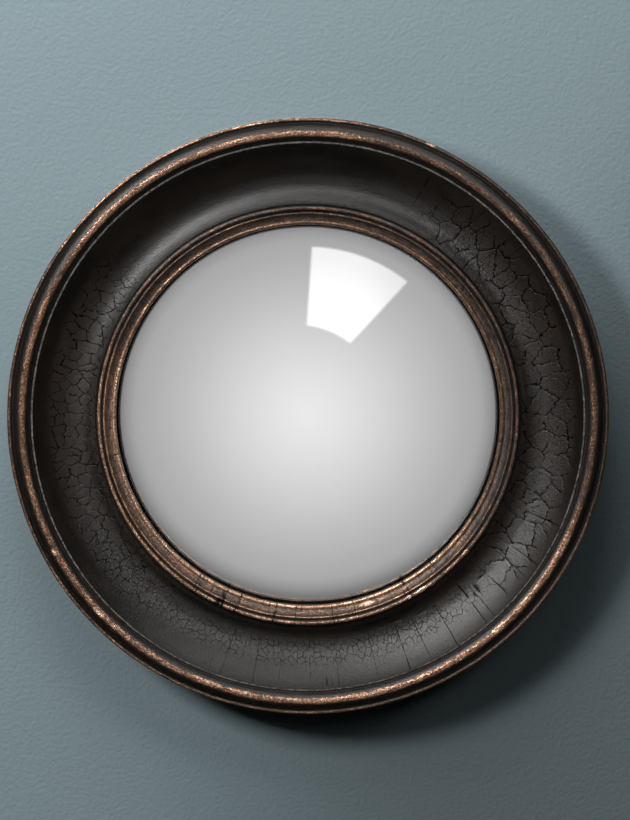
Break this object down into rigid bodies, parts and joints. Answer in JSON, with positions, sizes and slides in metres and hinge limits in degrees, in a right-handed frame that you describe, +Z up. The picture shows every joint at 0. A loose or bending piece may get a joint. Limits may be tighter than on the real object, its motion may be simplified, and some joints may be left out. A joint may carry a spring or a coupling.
{
  "type": "convex mirror",
  "caption": "Round wall mirror with a domed glass in a dark turned frame rubbed through to copper, hung by a ring on its back.",
  "frame": {"origin": "centre of the felt ring's back face, which lies on the wall", "axes": "+Y points into the wall, the mirror faces -Y, +Z is up, +X is to the right as seen by a person who looks at the mirror"},
  "size_m": [0.38, 0.0431, 0.38],
  "materials": {
    "rubbed_finish": "black-brown crackled lacquer over copper leaf, rubbed through on the crests, satin",
    "carcass": "bare fibreboard, stained dark at the side",
    "mirror_glass": "clear polished",
    "silvering": "silvered front, grey paint behind",
    "felt": "black pressed felt",
    "cork": "cork",
    "hardboard": "brown pressed board",
    "zinc_steel": "zinc plated"
  },
  "bodies": {
    "frame": {"bead_ring": "rubbed_finish", "cove_ring": "rubbed_finish", "slip_ring": "rubbed_finish", "back_ring": "carcass", "wall_felt": "felt", "convex_glass": "mirror_glass", "silver_coat": "silvering", "front_felt": "felt", "back_felt": "felt", "edge_corks": "cork", "spacer_ring": "carcass", "backing_board": "hardboard", "turn_button_screws": "zinc_steel", "hanger_strap": "zinc_steel", "hanger_screws": "zinc_steel", "bead_ring_screws": "zinc_steel", "cove_ring_screws": "zinc_steel", "slip_pins": "zinc_steel"},
    "hanger_ring": {"hanger_ring": "zinc_steel"},
    "turn_button_1": {"turn_button_1": "zinc_steel"},
    "turn_button_2": {"turn_button_2": "zinc_steel"},
    "turn_button_3": {"turn_button_3": "zinc_steel"},
    "turn_button_4": {"turn_button_4": "zinc_steel"}
  },
  "joints": [
    {"name": "hanger_ring_swing", "type": "hinge", "parent": "frame", "child": "hanger_ring", "pos_m": [0, -0.0047, 0.162], "axis": [1, 0, 0], "range_deg": [0, 180]},
    {"name": "turn_button_1_turn", "type": "hinge", "parent": "frame", "child": "turn_button_1", "pos_m": [0.10324, -0.0062, 0.10324], "axis": [0, 1, 0], "continuous": true},
    {"name": "turn_button_2_turn", "type": "hinge", "parent": "frame", "child": "turn_button_2", "pos_m": [-0.10324, -0.0062, 0.10324], "axis": [0, 1, 0], "continuous": true},
    {"name": "turn_button_3_turn", "type": "hinge", "parent": "frame", "child": "turn_button_3", "pos_m": [-0.10324, -0.0062, -0.10324], "axis": [0, 1, 0], "continuous": true},
    {"name": "turn_button_4_turn", "type": "hinge", "parent": "frame", "child": "turn_button_4", "pos_m": [0.10324, -0.0062, -0.10324], "axis": [0, 1, 0], "continuous": true}
  ]
}
